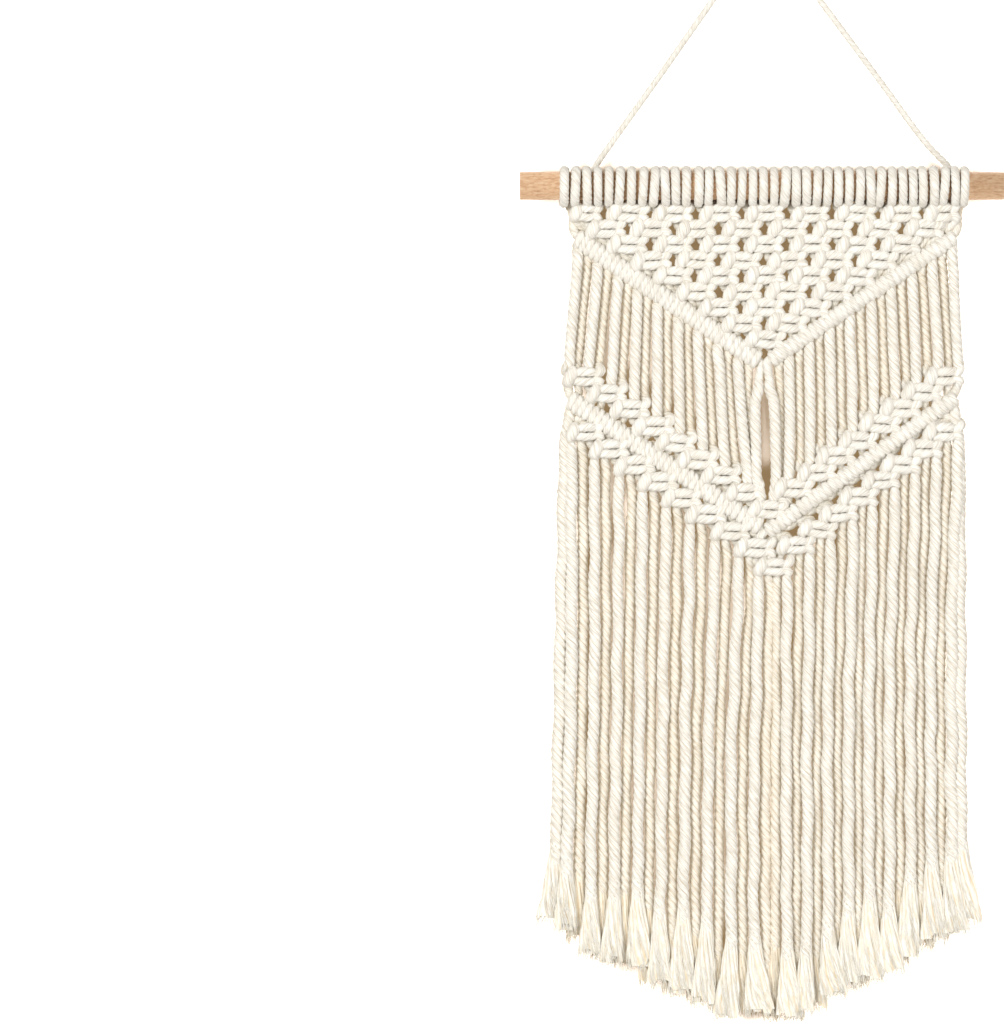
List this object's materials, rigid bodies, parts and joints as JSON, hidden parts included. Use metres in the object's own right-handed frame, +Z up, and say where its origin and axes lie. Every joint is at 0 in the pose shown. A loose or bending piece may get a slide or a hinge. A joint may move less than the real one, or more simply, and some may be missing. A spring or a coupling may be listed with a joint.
{
  "type": "macrame wall hanging on a wooden dowel",
  "caption": "Hung macrame panel: cords folded over a round dowel, a net of square knots, hitched chevron bars and a long fringe, on a rope to hang it by.",
  "frame": {"origin": "underside of the hanging cord's bend, where it lies over its hook", "axes": "+Z up, front of the panel faces -Y, +X to the right as seen from the front"},
  "size_m": [0.208, 0.0228, 0.4696],
  "materials": {
    "beech_dowel": "sanded, unvarnished",
    "hanging_rope": "three-ply twisted cotton rope",
    "cotton_cord": "soft twisted natural cotton cord"
  },
  "bodies": {
    "root": {"dowel": "beech_dowel", "hanging_cord": "hanging_rope", "knotted_panel": "cotton_cord", "fringe": "cotton_cord"}
  },
  "joints": []
}
